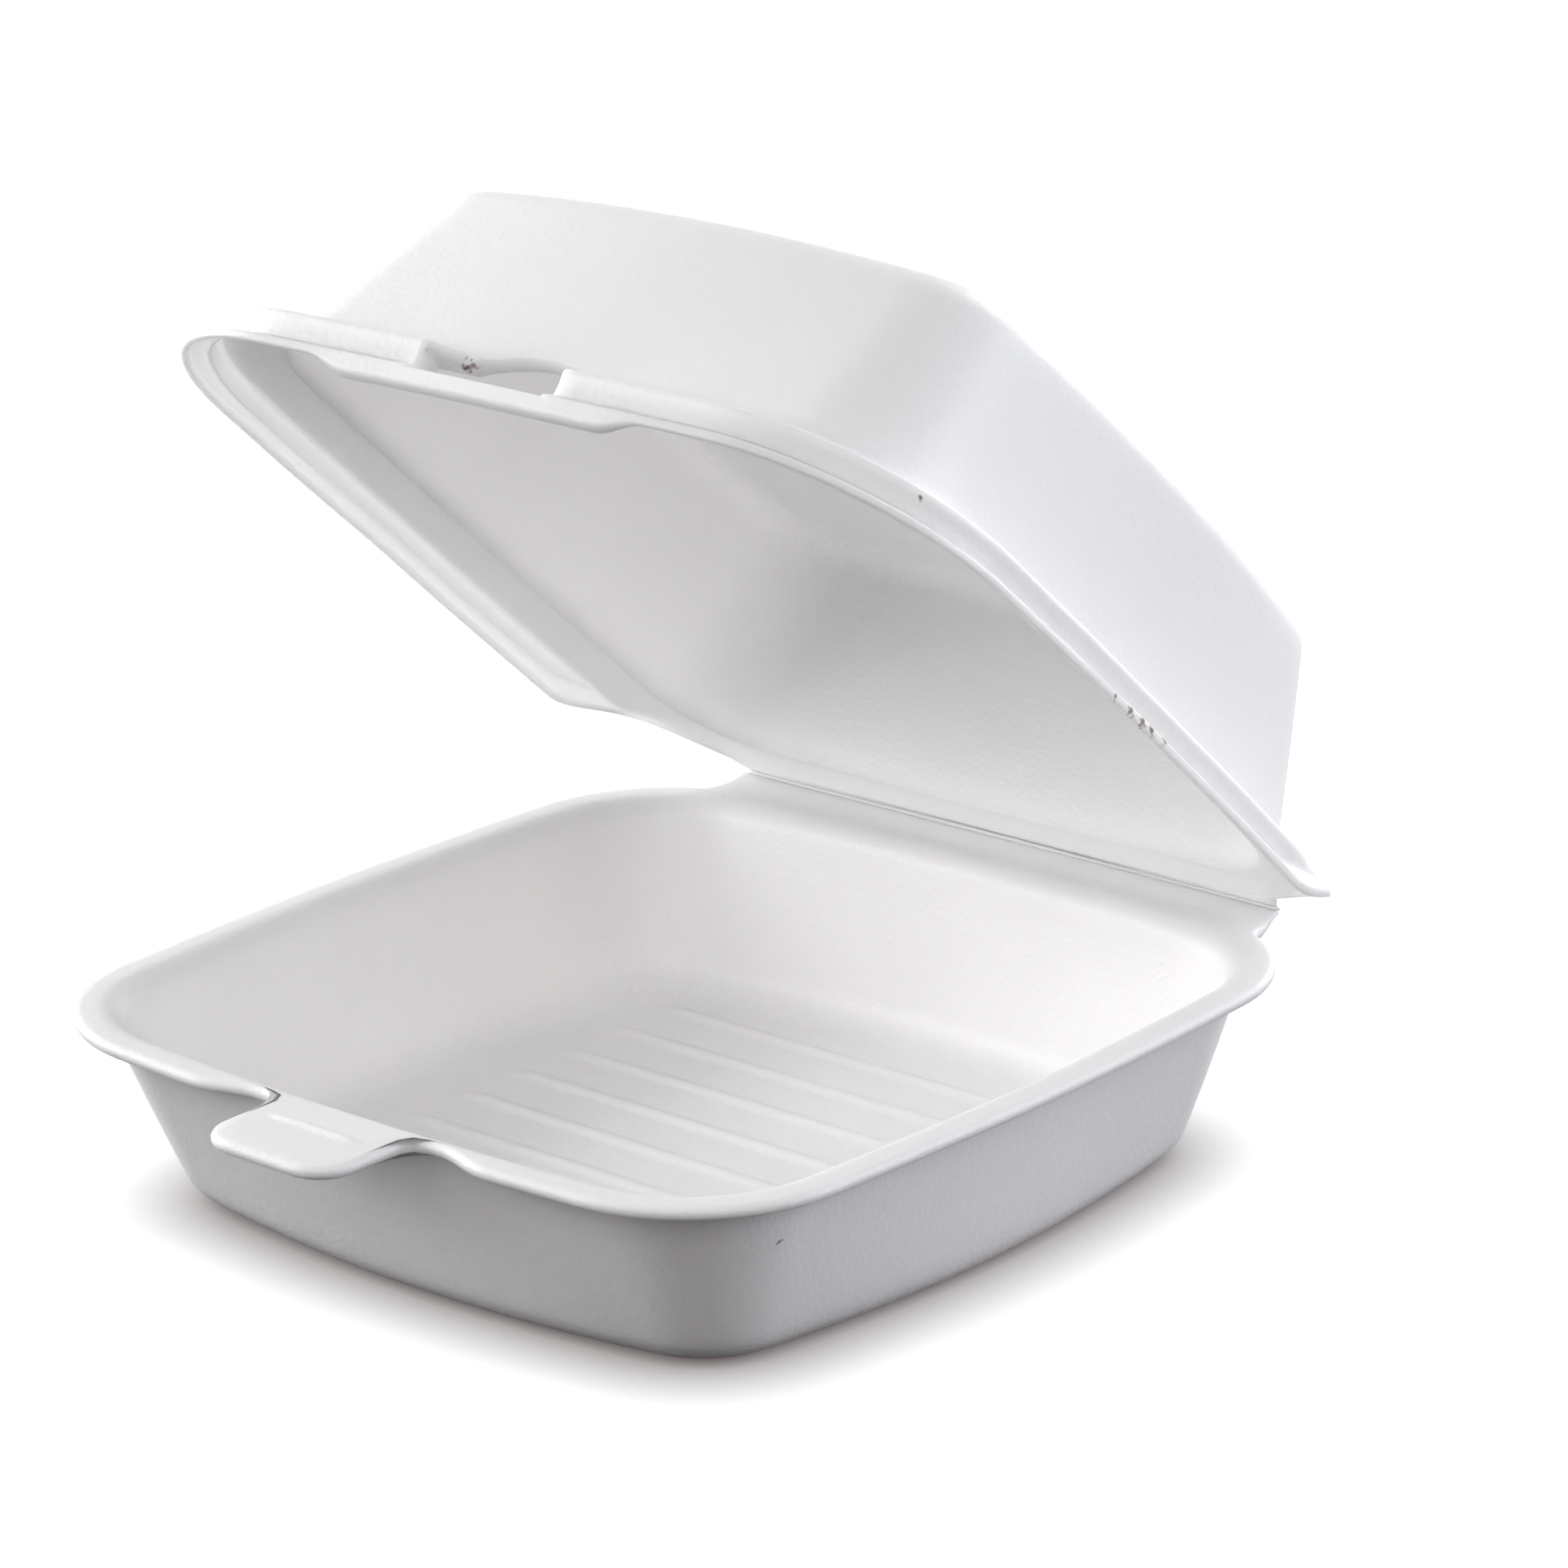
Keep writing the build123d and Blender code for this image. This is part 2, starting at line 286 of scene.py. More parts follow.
def foam_skin(name, light_reach, marks):
    """White foamed polystyrene with a pressed skin: satin, finely grained, and it lets light through."""
    material, tree = new_material(name)
    place = node(tree, "ShaderNodeTexCoord").outputs["Object"]
    mottle = node(tree, "ShaderNodeTexNoise", Vector=place, Scale=1 / mottle_size, Detail=0.0)
    cells = node(tree, "ShaderNodeTexNoise", Vector=place, Scale=1 / cell_size, Detail=0.0)
    grain = node(tree, "ShaderNodeTexNoise", Vector=place, Scale=1 / grain_size, Detail=1.0)
    colour = node(
        tree, "ShaderNodeMix", {"data_type": "RGBA"},
        i0=mottle.outputs["Fac"], i6=linear("F2F1F2"), i7=linear("F7F6F5"),
    )
    dirt = marks_in(tree, place, marks)
    marked = node(
        tree, "ShaderNodeMix", {"data_type": "RGBA"}, i0=dirt, i6=colour.outputs[2], i7=linear("75605A")
    )
    gloss = node(
        tree, "ShaderNodeMapRange", Value=grain.outputs["Fac"],
        From_Min=0.3, From_Max=0.7, To_Min=0.36, To_Max=0.5,
    )
    peel = node(
        tree, "ShaderNodeBump", Height=cells.outputs["Fac"], Strength=0.5, Distance=peel_depth
    )
    fine = node(
        tree, "ShaderNodeBump", Height=grain.outputs["Fac"], Strength=0.5, Distance=grain_depth,
        Normal=peel.outputs["Normal"],
    )
    skin = node(
        tree, "ShaderNodeBsdfPrincipled", Base_Color=marked.outputs[2], Roughness=gloss.outputs[0],
        IOR=1.5, Subsurface_Weight=1.0, Subsurface_Scale=light_reach, Normal=fine.outputs["Normal"],
    )
    skin.inputs["Subsurface Radius"].default_value = (1.0, 0.97, 0.95)
    node(tree, "ShaderNodeOutputMaterial", Surface=skin.outputs[0])
    return material


foam = foam_skin("foamed_polystyrene_skin", tray_light_reach, tray_marks)
drawn_foam = foam_skin("foamed_polystyrene_drawn_thin", lid_light_reach, lid_marks)
print("light goes", lid_light_reach / MM, "mm into the lid and", tray_light_reach / MM, "mm into the tray")

# %% [markdown]
# Tray and lid have the same kind of outline: a square with round corners whose sides bulge a little,
# because a thermoformed sheet is stiffer that way. Each side is an arc of a large circle, and each
# corner is an arc that touches both. Every outline has the same number of points in the same order,
# so that two outlines at different heights can be joined by a band of four-sided faces.

# %% Outlines
corner_points = 24
front_points = 80
side_points = 160


def circles_meet(a, radius_a, b, radius_b):
    """The two points where two circles meet."""
    apart = b - a
    length = hypot(*apart)
    along = (radius_a ** 2 - radius_b ** 2 + length ** 2) / (2 * length)
    across = (radius_a ** 2 - along ** 2) ** 0.5
    middle = a + apart * along / length
    sideways = np.array((-apart[1], apart[0])) * across / length
    return middle + sideways, middle - sideways


def arc(centre, radius, start, end, count):
    """Points along an arc, without its last one."""
    angles = np.linspace(start, end, count, endpoint=False)
    return np.column_stack((centre[0] + radius * np.cos(angles), centre[1] + radius * np.sin(angles)))


def bowed_sides(width, depth, bow):
    """Centre and radius of the arcs of the right side and of the front."""
    half_x = width / 2 - bow
    half_y = depth / 2 - bow
    side_radius = (half_y ** 2 + bow ** 2) / (2 * bow)
    front_radius = (half_x ** 2 + bow ** 2) / (2 * bow)
    side_centre = np.array((width / 2 - side_radius, 0.0))
    front_centre = np.array((0.0, front_radius - depth / 2))
    return side_centre, side_radius, front_centre, front_radius


def corner_of(sides, corner):
    """Centre and end angles of the round corner where two bowed sides meet, front right."""
    side_centre, side_radius, front_centre, front_radius = sides
    ends = circles_meet(side_centre, side_radius - corner, front_centre, front_radius - corner)
    x, y = min(ends, key=lambda p: p[1] - p[0])
    lean = atan2(x, front_centre[1] - y)
    rise = atan2(-y, x - side_centre[0])
    return x, y, lean, rise


def outline(width, depth, bow, corner, shift=0.0, back_corner=None):
    """A bowed square with round corners, from the middle of its front left corner to the right."""
    sides = bowed_sides(width, depth, bow)
    side_centre, side_radius, front_centre, front_radius = sides
    back_corner = back_corner or corner
    x, y, lean, rise = corner_of(sides, corner)
    back_x, back_y, back_lean, back_rise = corner_of(sides, back_corner)
    turn = pi / 2
    points = np.vstack((
        arc(front_centre, front_radius, -turn - lean, -turn + lean, front_points),
        arc((x, y), corner, -turn + lean, -rise, corner_points),
        arc(side_centre, side_radius, -rise, back_rise, side_points),
        arc((back_x, -back_y), back_corner, back_rise, turn - back_lean, corner_points),
        arc(-front_centre, front_radius, turn - back_lean, turn + back_lean, front_points),
        arc((-back_x, -back_y), back_corner, turn + back_lean, pi - back_rise, corner_points),
        arc(-side_centre, side_radius, pi - back_rise, pi + rise, side_points),
        arc((-x, y), corner, pi + rise, 3 * turn - lean, corner_points),
    ))
    return np.roll(points, corner_points // 2, axis=0) + (0, shift)


def between(a, b, share):
    """A mix of two values, outlines or tuples of sizes."""
    return np.asarray(a) * (1 - share) + np.asarray(b) * share


def ease(value):
    """0 below 0, 1 above 1, and a smooth ramp between them."""
    t = np.clip(value, 0, 1)
    return t * t * (3 - 2 * t)


print("points in an outline", 2 * (front_points + side_points) + 4 * corner_points)

# %% [markdown]
# A shell is made from a stack of such rings, joined band by band, and closed at its two ends by a grid.
# The grid is stretched between the four sides of the last ring, which keeps its faces even.
# The foam never comes out perfectly flat, so the finished points are moved by a fraction of a millimetre.
# Blender's noise takes its place from the clock unless it gets a seed, so it gets one: every run is alike.

# %% Shell builder
wobble = 0.12
wobble_size = 30.0
noise.seed_set(7)


def grid_between(ring):
    """Rows of points that fill a ring, from its front to its back."""
    across = front_points + corner_points
    along = side_points + corner_points
    front = ring[:across + 1]
    right = ring[across:across + along + 1]
    rear = ring[across + along:2 * across + along + 1][::-1]
    left = np.vstack((ring[2 * across + along:], ring[:1]))[::-1]
    s = np.linspace(0, 1, across + 1)[None, :, None]
    t = np.linspace(0, 1, along + 1)[:, None, None]
    flat = (1 - t) * front[None] + t * rear[None] + (1 - s) * left[:, None] + s * right[:, None]
    corners = (1 - s) * (1 - t) * front[0] + s * (1 - t) * front[-1]
    corners += (1 - s) * t * rear[0]
    corners += s * t * rear[-1]
    return flat - corners


def close_ring(points, faces, start, rows, flip):
    """Adds a grid inside the ring that starts at an index, and joins it to the ring."""
    count_y, count_x = rows.shape[:2]
    index = np.zeros((count_y, count_x), dtype=int)
    across = count_x - 1
    along = count_y - 1
    index[0, :] = start + np.arange(across + 1)
    index[:, -1] = start + across + np.arange(along + 1)
    index[-1, ::-1] = start + across + along + np.arange(across + 1)
    total = 2 * (across + along)
    index[::-1, 0] = start + (2 * across + along + np.arange(along + 1)) % total
    inner = rows[1:-1, 1:-1].reshape(-1, 3)
    index[1:-1, 1:-1] = len(points) + np.arange(len(inner)).reshape(count_y - 2, count_x - 2)
    around = (index[:-1, :-1], index[:-1, 1:], index[1:, 1:], index[1:, :-1])
    quads = np.stack(around, axis=-1).reshape(-1, 4)
    faces.append(quads[:, ::-1] if flip else quads)
    return np.vstack((points, inner))


def bands(ring_count, count):
    """Four-sided faces that join each ring of points to the next one."""
    here = np.arange(count)
    after = np.roll(here, -1)
    quads = []
    for low in range(0, (ring_count - 1) * count, count):
        high = low + count
        quads.append(np.column_stack((low + here, low + after, high + after, high + here)))
    return np.vstack(quads)


def waver(points, amount, size):
    """Slow uneven bumps, as in a foam sheet that cooled by itself."""
    moved = [noise.noise_vector(Vector(p) / size) * amount for p in points]
    return points + np.array(moved)


def closed_object(name, points, faces):
    """An object from points in mm and the faces of a closed mesh, all turned outward."""
    mesh = bpy.data.meshes.new(name)
    mesh.from_pydata((points * MM).tolist(), [], faces)
    work = bmesh.new()
    work.from_mesh(mesh)
    bmesh.ops.recalc_face_normals(work, faces=work.faces)
    work.to_mesh(mesh)
    work.free()
    obj = bpy.data.objects.new(name, mesh)
    scene.collection.objects.link(obj)
    return obj


def shell(name, rings, first_rows, last_rows, lowest, place=None):
    """One closed mesh from rings of points in mm, with a grid at each end."""
    count = len(rings[0])
    points = np.vstack(rings)
    faces = [bands(len(rings), count)]
    points = close_ring(points, faces, 0, first_rows, True)
    points = close_ring(points, faces, (len(rings) - 1) * count, last_rows, False)
    points = waver(points, wobble, wobble_size)
    points[:, 2] = np.maximum(points[:, 2], lowest)
    if place:
        points = place(points)
    return closed_object(name, points, np.vstack(faces).tolist())


def ring_at(flat, height):
    """A ring of 3D points from a flat outline and its height, one or one for each point."""
    return np.column_stack((flat, np.broadcast_to(height, len(flat))))


print("the sheet is uneven by", wobble, "mm")

# %% [markdown]
# The tray: a foot, tapering walls, and a flat rim. The sizes are those of the CAD model, in millimetres.
# Its rim has a tab in front with a scooped hollow on each side, and at the back a strip that thins
# towards the fold. These only change the outermost line of the rim, so that line is drawn first.

# %% Tray sizes and rim line
wall = 2.2
rim_width = 150.0
rim_depth = 152.0
rim_corner = 27.8
rim_bow = 3.7
rim_height = 32.8
ledge = 4.3
lip_round = 3.0
foot_width = 123.8
foot_depth = 126.2
foot_corner = 15.0
foot_bow = 6.5
foot_shift = 1.9
foot_round = 5.0
under_rim_round = 1.2
tab_half = 13.5
tab_reach = 15.17
tab_corner = 6.5
hollow_end = 30.0
hollow_deepest = 18.7
hollow_depth = 3.2
hollow_root = 2.4
hollow_start = tab_half - 2.5
notch_round = 1.6
fold_half = 55.9
fold_root_half = 57.6
fold_y = rim_depth / 2 + 4.35
fold_z = rim_height + 0.8
fold_thick = 1.0
fold_end = fold_y - 0.15
fold_run_out = 5.2
tab_ridge_y = -79.4
tab_ridge_half = 9.0
tab_ridge_width = 1.1
tab_ridge_end = 1.5
tab_ridge_height = 0.55

rim_front = -rim_depth / 2
rim_line = outline(rim_width, rim_depth, rim_bow, rim_corner)


def along(path, count):
    """Evenly spaced points along a path, both ends included."""
    path = np.asarray(path)
    steps = np.hypot(*np.diff(path, axis=0).T)
    travelled = np.concatenate(([0], np.cumsum(steps)))
    places = np.linspace(0, travelled[-1], count)
    return np.column_stack([np.interp(places, travelled, path[:, i]) for i in (0, 1)])


def rim_front_at(x):
    """Where the plain rim's front edge is at this x."""
    side = rim_line[:front_points + corner_points + 1]
    return np.interp(x, side[:, 0], side[:, 1])


def hollow_at(x):
    """Where the rim's front edge is in the hollows beside the tab."""
    x = np.abs(x)
    deepest = rim_front + hollow_depth
    run_out = ease((x - hollow_deepest) / (hollow_end - hollow_deepest))
    outside = between(deepest, rim_front_at(x), run_out)
    towards_tab = (hollow_deepest - x) / (hollow_deepest - tab_half)
    inside = deepest - (hollow_depth - hollow_root) * towards_tab ** 2
    return np.where(x > hollow_deepest, outside, inside)


def tab_side():
    """Right half of the rim's front, from the end of the hollow to the middle of the tab's tip."""
    x = np.linspace(hollow_end, tab_half + notch_round, 60)
    hollow = np.column_stack((x, hollow_at(x)))
    root_y = hollow[-1, 1]
    notch = arc((tab_half + notch_round, root_y - notch_round), notch_round, pi / 2, pi, 8)
    tip_y = rim_front - tab_reach
    corner_round = arc((tab_half - tab_corner, tip_y + tab_corner), tab_corner, 0, -pi / 2, 20)
    return np.vstack((hollow, notch, corner_round, [(0.0, tip_y)]))


def behind_hollows(flat, spare=0.0):
    """Keeps a line of the wall or lip behind the rim's edge where the hollows cut deep into it."""
    x, y = flat.T
    limit = hollow_at(x) + wall / 2 + spare
    near = (y < 0) & (np.abs(x) < hollow_end) & (np.abs(x) > hollow_start)
    return np.column_stack((x, np.where(near, np.maximum(y, limit), y)))


def edge_line():
    """The rim's outermost line, with the tab and its hollows in front and the fold strip at the back."""
    line = rim_line.copy()
    x, y = rim_line.T
    right = tab_side()
    left = right * (-1, 1)
    in_first_side = np.arange(len(line)) < front_points + corner_points
    front = np.flatnonzero((np.abs(x) < hollow_end) & (y < 0) & in_first_side)
    line[front] = along(np.vstack((left, right[::-1])), len(front))
    back = np.flatnonzero((np.abs(x) < fold_root_half) & (y > 0))
    root_y = np.interp(fold_root_half, x[back][::-1], y[back][::-1])
    right_end = [(fold_root_half, root_y), (fold_half, fold_end)]
    left_end = [(-fold_half, fold_end), (-fold_root_half, root_y)]
    line[back] = along(right_end + left_end, len(back))
    return line


def moved_in(line, distance):
    """A closed line moved towards its inside."""
    step = np.roll(line, -1, axis=0) - np.roll(line, 1, axis=0)
    inward = np.column_stack((-step[:, 1], step[:, 0])) / np.hypot(*step.T)[:, None]
    return line + inward * distance


edge = edge_line()
print("rim reaches from", edge.min(axis=0).round(1), "to", edge.max(axis=0).round(1))

# %% [markdown]
# Now the section through the tray's wall, walked from the underside, up the outside, over the rim
# and down the inside to the floor. Each step is a height and how far the ring lies inside the wall's
# outer face. The floor has low ribs, pressed in to stiffen it.

# %% Tray
rib_length = 96.0
rib_width = 3.6
rib_height = 0.55
rib_flank = 1.8
rib_end = 4.0
rib_pitch = 12.2
rib_count = 8
rib_middle = 6.4


def tray_outline(height, inset):
    """The tray's outline at a height, moved inward."""
    foot = (foot_width, foot_depth, foot_bow, foot_corner, foot_shift)
    top = (rim_width - 2 * ledge, rim_depth - 2 * ledge, rim_bow, rim_corner - ledge, 0.0)
    width, depth, bow, corner, shift = between(foot, top, height / rim_height)
    return outline(width - 2 * inset, depth - 2 * inset, bow, corner - inset, shift)


def section_arc(inset, height, radius, start, end, count=9):
    """Steps of a section round an arc, as (inset, height)."""
    angles = np.radians(np.linspace(start, end, count))
    return [(inset + radius * cos(a), height + radius * sin(a)) for a in angles]


def strip_height(flat, height):
    """Height of a point of the rim, lifted and thinned where the fold strip is."""
    at_strip = np.abs(flat[:, 0]) < fold_root_half + 0.5
    share = ease((flat[:, 1] - rim_depth / 2 + 1.5) / fold_run_out) * at_strip
    top = rim_height + (fold_z - rim_height) * share
    thinner = between(1, fold_thick / wall, share)
    return top - (rim_height - height) * thinner


def tab_ridge(flat):
    """The pressed ridge across the tab, which keeps it stiff."""
    across = ease((tab_ridge_width - np.abs(flat[:, 1] - tab_ridge_y)) / tab_ridge_width)
    return tab_ridge_height * across * ease((tab_ridge_half - np.abs(flat[:, 0])) / tab_ridge_end)


def rib_rise(flat):
    """How high the floor's ribs stand at each point."""
    from_rib = np.mod(flat[..., 1] - rib_middle, rib_pitch)
    from_rib = np.abs(from_rib - rib_pitch / 2)
    across = ease((rib_width / 2 + 0.3 - from_rib) / rib_flank)
    ends = ease((rib_length / 2 - np.abs(flat[..., 0])) / rib_end)
    field = np.abs(flat[..., 1] - rib_middle) < rib_count * rib_pitch / 2
    return rib_height * across * ends * field


def make_tray():
    """The whole tray as one closed shell."""
    low = rim_height - wall
    under = [(foot_round + 1.0, 0.0)] + section_arc(foot_round, foot_round, foot_round, 270, 180)
    outside = [(0.0, z) for z in np.linspace(foot_round, low - under_rim_round, 12)[1:]]
    under_rim = section_arc(-under_rim_round, low - under_rim_round, under_rim_round, 0, 90, 6)[1:]
    rings = [ring_at(tray_outline(z, inset), z) for inset, z in under + outside]
    rings += [ring_at(behind_hollows(tray_outline(z, inset)), z) for inset, z in under_rim]
    round_edge = wall / 2 - 0.05
    start = behind_hollows(tray_outline(low, -under_rim_round))
    for share in (0.25, 0.5, 0.75):
        flat = between(start, moved_in(edge, round_edge), share)
        rings.append(ring_at(flat, strip_height(flat, low)))
    for angle in np.radians(np.linspace(-90, 90, 9)):
        flat = moved_in(edge, round_edge * (1 - cos(angle)))
        height = rim_height - wall / 2 + (wall / 2) * sin(angle)
        rings.append(ring_at(flat, strip_height(flat, height)))
    lip_inset = wall - lip_round
    finish = behind_hollows(tray_outline(rim_height, lip_inset), 0.2)
    for share in (0.2, 0.4, *np.linspace(0.5, 0.7, 11), 0.85):
        flat = between(moved_in(edge, round_edge), finish, share)
        rings.append(ring_at(flat, strip_height(flat, rim_height) + tab_ridge(flat)))
    lip = section_arc(lip_inset, rim_height - lip_round, lip_round, 90, 0)
    inside = [(wall, z) for z in np.linspace(rim_height - lip_round, wall + foot_round, 12)[1:]]
    bottom = section_arc(wall + foot_round, wall + foot_round, foot_round, 180, 270)[1:]
    for step, (inset, z) in enumerate(lip[:5]):
        rings.append(ring_at(behind_hollows(tray_outline(z, inset), 0.25 + 0.1 * step), z))
    rings += [ring_at(tray_outline(z, inset), z) for inset, z in lip[5:] + inside + bottom]
    floor = grid_between(rings[-1])
    floor[..., 2] += rib_rise(floor)
    return shell("tray", rings, grid_between(rings[0]), floor, lowest=0.0)


tray = make_tray()
print("tray faces", len(tray.data.polygons))

# %% [markdown]
# The lid is drawn closed over the tray and then swung open about the fold, as a person would do it.
# It has a skirt that hangs over the tray's rim, a sloping flange, tapering walls and a flat top.
# The skirt is deeper in front, where it ends in the bar that the tab hooks under. The lid's outlines get
# fewer points along their sides than the tray's, because it needs more rings and has no ribs.

# %% Lid sizes
side_points = 80
lip_overhang = 3.85
front_overhang = 3.3
back_overhang = 4.7
lip_corner = 34.5
lip_back_corner = 29.0
lip_flare = 1.6
lip_height = 1.2
lip_rise = 1.3
skirt_corner = 35.5
skirt_bow = 1.8
skirt_wall = 1.0
skirt_drop = 5.6
skirt_front_drop = 6.4
skirt_groove = 0.5
groove_run_in = 3.0
skirt_end_start = 51.0
skirt_end_finish = 71.0
back_start = 66.0
back_run_in = 10.0
fold_low = 0.1
flange_width = 13.2
flange_back_width = 5.8
flange_corner = 19.0
flange_slope_rise = 3.2
seat = -0.6
shoulder_round = 1.0
crown_width = 118.3
crown_depth = 122.5
crown_corner = 16.0
crown_bow = 5.5
crown_shift = 7.0
crown_height = 39.1
crown_round = 4.5
bar_half = 33.5
bar_end = 9.0
bar_drop = 2.1
bar_thick = 3.0
bar_round = 1.3
post_half = 17.5
post_thick = 5.2
slot_half = 14.1
slot_sill = -5.4
slot_shoulder = 0.3
slot_crown = 4.5
slot_window_top = 8.0
slot_back = -67.3
slot_flare = ((-0.5, 4.0), (1.2, 2.6), (1.9, 1.6), (2.6, 0.8), (3.4, 0.2), (9.0, 0.0))
open_angle = radians(42.5)

shoulder = seat + skirt_wall
crease = shoulder + flange_slope_rise
skirt_low = -skirt_front_drop - bar_drop
lip_front = rim_front - front_overhang
slot_front = lip_front - 8
lip_back = rim_depth / 2 + back_overhang
lip_width = rim_width + 2 * lip_overhang
skirt_front = lip_front + lip_flare
foot_front = lip_front + flange_width
foot_back = lip_back - flange_back_width


def lid_sizes(width, front, back, corner):
    """Width, depth, bow, corner and shift of an outline that reaches from one y to another."""
    return width, back - front, skirt_bow, corner, (front + back) / 2


def inset_outline(sizes, inset, back_corner=None):
    """An outline of the lid, moved inward."""
    width, depth, bow, corner, shift = sizes
    return outline(width - 2 * inset, depth - 2 * inset, bow, corner - inset, shift, back_corner)


skirt_sizes = lid_sizes(lip_width - 2 * lip_flare, skirt_front, lip_back, skirt_corner)
foot_sizes = lid_sizes(lip_width - 2 * flange_width, foot_front, foot_back, flange_corner)
crown_sizes = (crown_width, crown_depth, crown_bow, crown_corner, crown_shift)
lip_line = inset_outline(lid_sizes(lip_width, lip_front, lip_back, lip_corner), 0, lip_back_corner)


def in_front(flat, half, run_out):
    """1 near the middle of the front, and smoothly 0 beyond a half width."""
    return ease((half - np.abs(flat[:, 0])) / run_out) * (flat[:, 1] < 0)


def at_back(flat):
    """1 at the fold, smoothly 0 towards the sides."""
    return ease((flat[:, 1] - back_start) / back_run_in)


def plain_bottom(flat):
    """Height of the skirt's lower edge without the bar, running out towards the fold."""
    hang = np.interp(flat[:, 1], (lip_front, 0), (-skirt_front_drop, -skirt_drop))
    run_out = ease((flat[:, 1] - skirt_end_start) / (skirt_end_finish - skirt_end_start))
    return hang * (1 - run_out) + fold_low * run_out


def reach_fold(flat):
    """Cuts the lid's back edge off at the fold, and reaches it where the fold strip is."""
    x, y = flat.T
    at_strip = (np.abs(x) < fold_half) & (y > rim_depth / 2)
    return np.column_stack((x, np.where(at_strip, fold_end, np.minimum(y, fold_end))))


skirt_line = inset_outline(skirt_sizes, 0)
low_plain = plain_bottom(lip_line)
low_edge = low_plain - bar_drop * in_front(lip_line, bar_half, bar_end)
top_edge = between(shoulder, fold_low + fold_thick, at_back(lip_line))


def skirt_at(height, inward=0.0):
    """The skirt's outside at a height for each point: out at the lip, and in at the groove above it."""
    height = np.broadcast_to(height, len(skirt_line))
    out = ease((low_plain + lip_height + lip_rise - height) / lip_rise) * (1 - at_back(lip_line))
    groove = ease((top_edge - height) / groove_run_in) * skirt_groove * (1 - at_back(lip_line))
    line = moved_in(skirt_line, (groove * (1 - out))[:, None])
    line = line * (1 - out[:, None]) + lip_line * out[:, None]
    return moved_in(line, np.broadcast_to(inward, len(line))[:, None])


print("lid is", crown_height, "mm high above the fold, lip", lip_width, "mm wide")

# %% [markdown]
# The lid's section is walked like the tray's: from the flat top's outside down the wall, over the
# flange and the skirt, round its lower edge, and back up inside. The sheet is thicker at the bar, and
# beside the slot, where the mould leaves two posts that carry the bar.

# %% Lid
def swing_open(points):
    """Turns points of the closed lid about the fold to its half open place."""
    y = points[:, 1] - fold_y
    z = points[:, 2]
    turned_y = y * cos(open_angle) + z * sin(open_angle)
    turned_z = z * cos(open_angle) - y * sin(open_angle)
    return np.column_stack((points[:, 0], fold_y + turned_y, fold_z + turned_z))


def wall_outline(height, inset):
    """The lid's wall between the flange and the top, at a height, moved inward."""
    share = (height - crease) / (crown_height - crease)
    return inset_outline(between(foot_sizes, crown_sizes, share), inset)


def flange_outline(share, inset_low, inset_high):
    """A line on the flange, from the shoulder at 0 to the foot of the walls at 1."""
    return between(inset_outline(skirt_sizes, inset_low), inset_outline(foot_sizes, inset_high), share)


def rounded(start, corner, finish, count):
    """Rings that turn smoothly round a corner, without the first and the last."""
    steps = np.linspace(0, 1, count + 2)[1:-1]
    return [(1 - t) ** 2 * start + 2 * t * (1 - t) * corner + t ** 2 * finish for t in steps]


def make_lid():
    """The whole lid as one closed shell, swung open."""
    outside = section_arc(crown_round, crown_height - crown_round, crown_round, 90, 180)
    outside += [(0.0, z) for z in np.linspace(crown_height - crown_round, crease + 0.6, 14)[1:]]
    rings = [ring_at(wall_outline(z, inset), z) for inset, z in outside]
    rings.append(ring_at(wall_outline(crease, -0.35), crease + 0.1))
    for share in np.linspace(0.94, 0.12, 9):
        rings.append(ring_at(flange_outline(share, 0, 0), between(top_edge, crease, share)))

    at_bar = in_front(lip_line, bar_half, bar_end)
    edge_round = np.minimum(skirt_wall / 2, (top_edge - low_edge) * 0.3)
    edge_round = between(edge_round, bar_round, at_bar)
    lowest_outside = low_edge + edge_round
    below_corner = np.maximum(top_edge - shoulder_round, lowest_outside + 0.05)
    corner = ring_at(reach_fold(skirt_line), top_edge)
    turned = ring_at(reach_fold(skirt_at(below_corner)), below_corner)
    rings += rounded(rings[-1], corner, turned, 6) + [turned]
    for share in np.linspace(0, 1, 17)[1:]:
        height = between(below_corner, lowest_outside, share)
        rings.append(ring_at(reach_fold(skirt_at(height)), height))

    thick = between(skirt_wall, bar_thick, at_bar)
    outer = rings[-1][:, :2]
    inner = skirt_at(lowest_outside, thick)
    for angle in np.radians(np.linspace(190, 350, 11)):
        level = low_edge + edge_round * (1 + sin(angle))
        rings.append(ring_at(between(outer, inner, (1 + cos(angle)) / 2), level))
    under = np.maximum(seat, low_edge + 0.25)
    at_post = in_front(lip_line, post_half, 2.0)
    for share in np.linspace(0.05, 0.9, 9):
        height = between(lowest_outside, under, share)
        above_bar = ease((height - slot_sill + 0.6) / 1.2)
        thinner = between(thick, between(skirt_wall, post_thick, at_post), above_bar)
        rings.append(ring_at(skirt_at(height, thinner), height))
    for share in np.linspace(0.06, 0.95, 8):
        flat = flange_outline(share, skirt_wall, wall)
        rings.append(ring_at(flat, between(under, crease - wall, share)))
    inner_round = crown_round - wall / 2
    centre = crown_height - wall - inner_round
    inside = [(wall, z) for z in np.linspace(crease - wall + 0.5, centre, 14)]
    inside += section_arc(wall + inner_round, centre, inner_round, 180, 90)[1:]
    rings += [ring_at(wall_outline(z, inset), z) for inset, z in inside]
    first, last = grid_between(rings[0]), grid_between(rings[-1])
    return shell("lid_shell", rings, first, last, lowest=skirt_low, place=swing_open)


lid = make_lid()
print("lid faces", len(lid.data.polygons))

